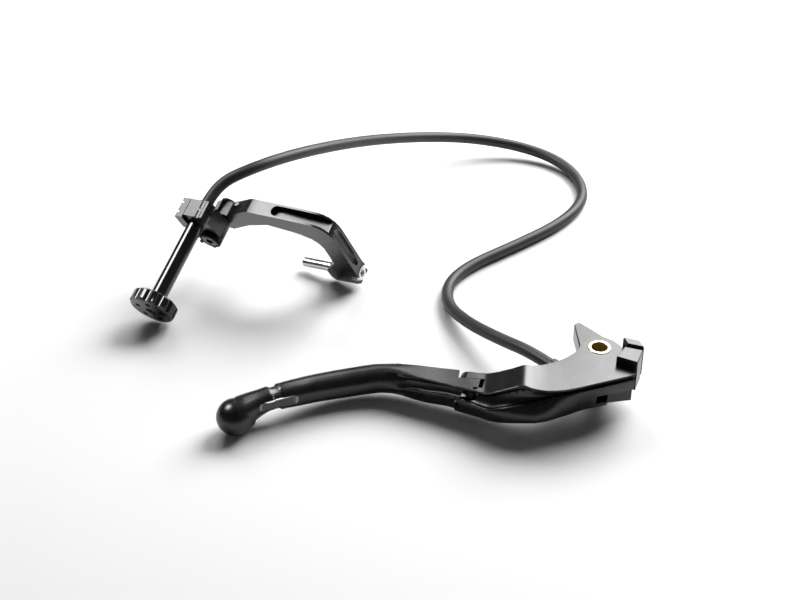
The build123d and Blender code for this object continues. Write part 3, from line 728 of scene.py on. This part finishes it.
def arm_pieces():
    body = prism("bracket_c_arm", ARM_TOP + ARM_CORNER + ARM_LEG, ARM_REAR, ARM_FRONT, CLAMP)
    near, far = ARM_FRONT - 1.2, ARM_REAR + 1.2
    pocket = prism("pocket", POCKET_FLOOR, far, near, CLAMP)
    half = (near - far) / 2
    ends = [(42.0 + half + 30.0, 0)]
    outline = []
    for i in range(13):
        a = math.radians(90 + 180 * i / 12)
        outline.append((41.4 + half + half * math.cos(a), half * math.sin(a)))
    outline += [(90.0, -half), (90.0, half)]
    lie = at(0, -20.0, ARM_MIDDLE) @ Matrix.Rotation(math.radians(-90), 4, "X")
    plan = prism("pocket_plan", outline, -30.0, 30.0, lie)
    combine(pocket, [plan], "INTERSECT")
    groove = []
    for i in range(17):
        share = i / 16
        y = -8.6 - 33.0 * share
        depth = 2.3 * math.sin(math.pi * min(share * 1.6, 0.5)) * (1.0 - 0.5 * smooth_step(share, 0.8, 1.0))
        centre = 77.6 - 1.0 * share - depth + 3.6
        ring = []
        for k in range(32):
            a = 2 * math.pi * k / 32
            ring.append(CLAMP @ Vector((centre + 3.6 * math.cos(a), y, ARM_MIDDLE + 2.6 * math.sin(a))))
        groove.append(ring)
    leg_groove = lofted("leg_groove", groove)
    cuts = [pocket, leg_groove,
            round_bar("pivot", (3.5, -12.5, -20), (3.5, -12.5, -6), 2.56, place=CLAMP),
            round_bar("pin_seat", (50, PIN_AXIS_Y, ARM_MIDDLE), (80, PIN_AXIS_Y, ARM_MIDDLE), 2.22, place=CLAMP),
            round_bar("head_seat", (70.6, PIN_AXIS_Y, ARM_MIDDLE), (82, PIN_AXIS_Y, ARM_MIDDLE), 4.75, place=CLAMP),
            round_bar("set_screw", (82, -43.0, ARM_MIDDLE), (73.5, -43.0, ARM_MIDDLE), 1.55, place=CLAMP)]
    combine(body, cuts, "DIFFERENCE")
    nub = turned("nub", [(-1.5, 1.7), (0.7, 1.7), (1.1, 1.3), (1.1, 0.1), (-1.5, 0.0)],
                 at(15.0, -5.0, ARM_REAR + 2.2) @ Matrix.Rotation(math.radians(-90), 4, "X"), 32)
    combine(body, [nub], "UNION")
    show(body, "bracket", ["bracket_arm"], ANODISED, 0.32)
    place = across(76.0, -43.0, ARM_MIDDLE)
    grub = turned("arm_set_screw", [(-2.4, 1.48), (-0.3, 1.48), (0.0, 1.2), (0.0, 0.0), (-2.4, 0.0)], place, 36)
    combine(grub, [hex_socket("socket", 0.9, 1.2, place)], "DIFFERENCE")
    show(grub, "bracket", ["bracket_set_screw"], SCREW_BLACK, 0.06)
    place = across(75.8, PIN_AXIS_Y, ARM_MIDDLE)
    screw = turned("mount_pin_screw", [(-4.8, 4.6), (-1.0, 4.6), (-0.35, 4.2), (0.0, 3.4), (0.0, 0.0), (-11.6, 0.1),
                                       (-11.6, 2.15), (-4.8, 2.15)], place, 96)
    combine(screw, [star_socket("socket", 2.3, 1.8, place)], "DIFFERENCE")
    show(screw, "bracket", ["mount_screw"], SCREW_STEEL, 0.12)
    place = across(0, PIN_AXIS_Y, ARM_MIDDLE)
    pin = turned("steel_mount_pin", [(37.0, 0.0), (37.0, 2.1), (37.25, 2.45), (37.7, 2.75), (55.8, 2.75),
                                     (55.8, 2.2), (64.0, 2.2), (64.0, 0.0)], place, 96)
    show(pin, "bracket", ["mount_pin"], STEEL, 0.05)
    place = at(3.5, -12.5, 0)
    screw = turned("bracket_swivel_screw", [(-19.4, 0.0), (-19.4, 4.0), (-18.8, 4.6), (-17.05, 4.6), (-17.05, 2.5),
                                            (-6.0, 2.5), (-6.0, 2.0), (4.5, 2.0), (4.5, 0.0)], place, 72)
    combine(screw, [hex_socket("socket", 2.3, 1.6, at(3.5, -12.5, -19.4) @ Matrix.Rotation(math.pi, 4, "X"))],
            "DIFFERENCE")
    show(screw, "bracket", ["bracket_pivot_screw"], SCREW_BLACK, 0.1)


# ---------------------------------------------------------------- pivot end pieces
HORN_PLAN = [(-5.6, 25.0), (-4.6, 26.2), (-2.6, 26.4), (1.6, 19.6), (7.4, 9.4), (11.6, 1.6), (12.6, -4.2),
             (5.0, -8.0), (-8.8, 2.0), (-8.0, 8.0)]
STOP_PLAN = [(9.6, 4.0), (12.4, -1.2), (18.9, -5.2), (19.2, -10.4), (18.4, -10.4), (11.4, -6.4), (7.0, -4.0)]
STOP_TOP = [(11.5, -1.0), (12.6, -1.4), (18.9, -5.2), (19.2, -10.4), (18.4, -10.4), (11.5, -6.5)]
TAB_PLAN = [(10.4, -7.4), (18.1, -11.9), (12.3, -21.2), (3.9, -14.6)]
CHEEK_PLAN = [(15.9, -11.4), (18.1, -11.9), (12.9, -20.4), (11.2, -19.4), (11.2, -14.0)]
HORN_LOW, HORN_HIGH = -2.55, 6.55


def crowned(name, outline, low, high, inset, drop):
    """A prism whose top edge is a broad chamfer: inset towards the middle, starting drop below the top."""
    middle = Vector((sum(p[0] for p in outline) / len(outline), sum(p[1] for p in outline) / len(outline)))
    inner = []
    for p in outline:
        away = Vector(p) - middle
        inner.append(middle + away * (1 - inset / max(away.length, inset * 2)))
    rings = [[Vector((x, y, z)) for x, y in outline] for z in (low, high - drop)]
    rings.append([Vector((p.x, p.y, high)) for p in inner])
    return lofted(name, rings)


def pivot_pieces():
    bush = turned("pivot_bush_ring", [(FLOOR_Z, 4.0), (FLOOR_Z, 5.5), (FLOOR_Z + 0.25, 5.74), (TOP_Z + 0.1, 5.74),
                                      (TOP_Z + 0.4, 5.45), (TOP_Z + 0.4, 4.25), (TOP_Z + 0.15, 4.0)],
                  Matrix.Identity(4), 128)
    show(bush, ROOT, ["pivot_bush"], BRASS, 0.06)
    horn = crowned("piston_horn", HORN_PLAN, HORN_LOW, HORN_HIGH, 0.7, 0.7)
    hub = round_bar("hub", (0, 0, HORN_LOW), (0, 0, HORN_HIGH), 8.7, sides=96)
    arm = [cross_point(16.05, -3.0), cross_point(16.05, 4.4), cross_point(20.6, 4.4), (-7.0, -16.0), (4.0, -7.0),
           (-8.0, -3.0)]
    combine(horn, [hub, prism("arm", arm, HORN_LOW, HORN_HIGH), prism("stop_low", STOP_PLAN, HORN_LOW, HORN_HIGH),
                   crowned("stop_top", STOP_TOP, 2.0, 14.5, 0.7, 1.0)], "UNION")
    seat = Vector((4.5, 14.15, 2.0))
    facing = Vector((0.868, 0.4968, 0.0)).normalized()
    combine(horn, [round_bar("bore", (0, 0, -20), (0, 0, 20), 5.8, sides=96),
                   round_bar("seat", seat - facing * 2, seat + facing * 4, 3.22)], "DIFFERENCE")
    show(horn, "actuator", ["actuator"], ANODISED, 0.3)
    pad = turned("piston_pad_disc", [(-2.0, 0.0), (-2.0, 3.18), (0.5, 3.18), (0.9, 2.7), (0.9, 0.0)],
                 Matrix.Translation(seat) @ facing.to_track_quat("Z", "Y").to_matrix().to_4x4(), 64)
    show(pad, "actuator", ["actuator_pad"], STEEL, 0.06)
    tab = crowned("switch_tab_block", TAB_PLAN, TOP_Z, 13.5, 0.5, 0.5)
    cheek = prism("cheek", CHEEK_PLAN, -4.0, 12.0)
    combine(tab, [cheek], "UNION")
    combine(tab, [round_bar("screw", (9.0, -15.5, 8.0), (9.0, -15.5, 12.2), 1.52)], "DIFFERENCE")
    show(tab, ROOT, ["switch_tab"], ANODISED, 0.35)
    shank = turned("switch_tab_fixing", [(3.4, 0.0), (3.4, 1.3), (3.7, 1.48), (11.7, 1.48), (12.0, 1.2), (12.0, 0.0)],
                   Matrix.Translation((9.0, -15.5, 0)), 40)
    show(shank, ROOT, ["switch_tab_screw"], SCREW_BLACK, 0.05)
    pin = turned("fold_hinge_pin", [(-6.8, 0.0), (-6.8, 1.3), (-6.5, 1.58), (7.1, 1.58), (7.4, 1.3), (7.4, 0.0)],
                 FOLD @ Matrix.Rotation(math.radians(-90), 4, "X"), 48)
    show(pin, ROOT, ["fold_pin"], STEEL, 0.05)
    turn = SPINDLE_DIR.to_track_quat("Z", "Y").to_matrix().to_4x4()
    ferrule = turned("lever_ferrule", [(0, 1.3), (0, 3.7), (0.4, 4.1), (3.0, 4.1), (3.4, 3.7), (3.4, 3.28),
                                       (6.6, 3.28), (6.6, 1.3)], Matrix.Translation(along(0)) @ turn, 72)
    show(ferrule, ROOT, ["cable_ferrule_lever"], SCREW_BLACK, 0.1)


INNER_NODES = {
    "adjuster_spindle": "steel", "adjuster_plunger": "steel", "flex_tip_lever": "steel", "flex_tip_remote": "steel",
    "fold_plunger": "steel", "fold_spring": "steel", "tube_bush_inner": "brass", "tube_bush_outer": "brass",
    "friction_washer": "black",
}


def inner_nodes():
    """The pieces inside the others stay as drawn, with their own finishes."""
    finishes = {"steel": STEEL, "brass": BRASS, "black": SCREW_BLACK}
    for node, finish in INNER_NODES.items():
        dress(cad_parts[node], finishes[finish])


lever_base_piece()
blade_piece()
pivot_pieces()
knob_piece()
tube_pieces()
clamp_pieces()
arm_pieces()
inner_nodes()


# ---------------------------------------------------------------- studio

def area_light(name, place, aim, size, watts, shape="DISK"):
    data = bpy.data.lights.new(name, "AREA")
    data.shape = shape
    data.size = size
    data.energy = watts
    light = bpy.data.objects.new(name, data)
    light.location = place
    light.rotation_euler = (Vector(aim) - Vector(place)).to_track_quat("-Z", "Y").to_euler()
    bpy.context.scene.collection.objects.link(light)
    return light


def studio():
    bm = bmesh.new()
    bmesh.ops.create_grid(bm, x_segments=2, y_segments=2, size=4.0)
    bmesh.ops.translate(bm, verts=bm.verts, vec=(0, 0, FLOOR_Z * MM))
    floor = new_mesh("studio_floor", bm)
    material = bpy.data.materials.new("pale_floor")
    material.use_nodes = True
    shader = material.node_tree.nodes["Principled BSDF"]
    shader.inputs["Base Color"].default_value = (0.86, 0.86, 0.86, 1)
    shader.inputs["Roughness"].default_value = 0.8
    shader.inputs["Specular IOR Level"].default_value = 0.1
    dress(floor, material)
    area_light("key", (0.69, 0.69, 0.78), (-0.05, 0.05, 0), 1.0, 30)
    panel = area_light("panel", (-0.17, 1.05, 0.75), (-0.05, 0.05, 0), 0.8, 9.5)
    panel.visible_glossy = False
    sheen = area_light("top_sheen", (0.197, 0.98, 0.79), (-0.06, -0.02, 0), 0.40, 2.0)
    sheen.visible_diffuse = False
    sheen = area_light("left_sheen", (-0.76, 0.46, 1.0), (-0.2, 0.1, 0), 0.55, 14)
    sheen.visible_diffuse = False
    world = bpy.data.worlds.new("studio")
    world.use_nodes = True
    world.node_tree.nodes["Background"].inputs["Color"].default_value = (1, 1, 1, 1)
    world.node_tree.nodes["Background"].inputs["Strength"].default_value = 0.06
    bpy.context.scene.world = world
    bpy.context.scene.view_settings.view_transform = "Standard"


def camera():
    data = bpy.data.cameras.new("camera")
    data.sensor_width = 36.0
    data.lens = 67.05
    view = bpy.data.objects.new("camera", data)
    view.location = mm((-205.6, -568.4, 439.5))
    view.rotation_euler = Vector((0.1513, 0.8151, -0.5592)).to_track_quat("-Z", "Y").to_euler()
    bpy.context.scene.collection.objects.link(view)
    bpy.context.scene.camera = view


studio()
camera()
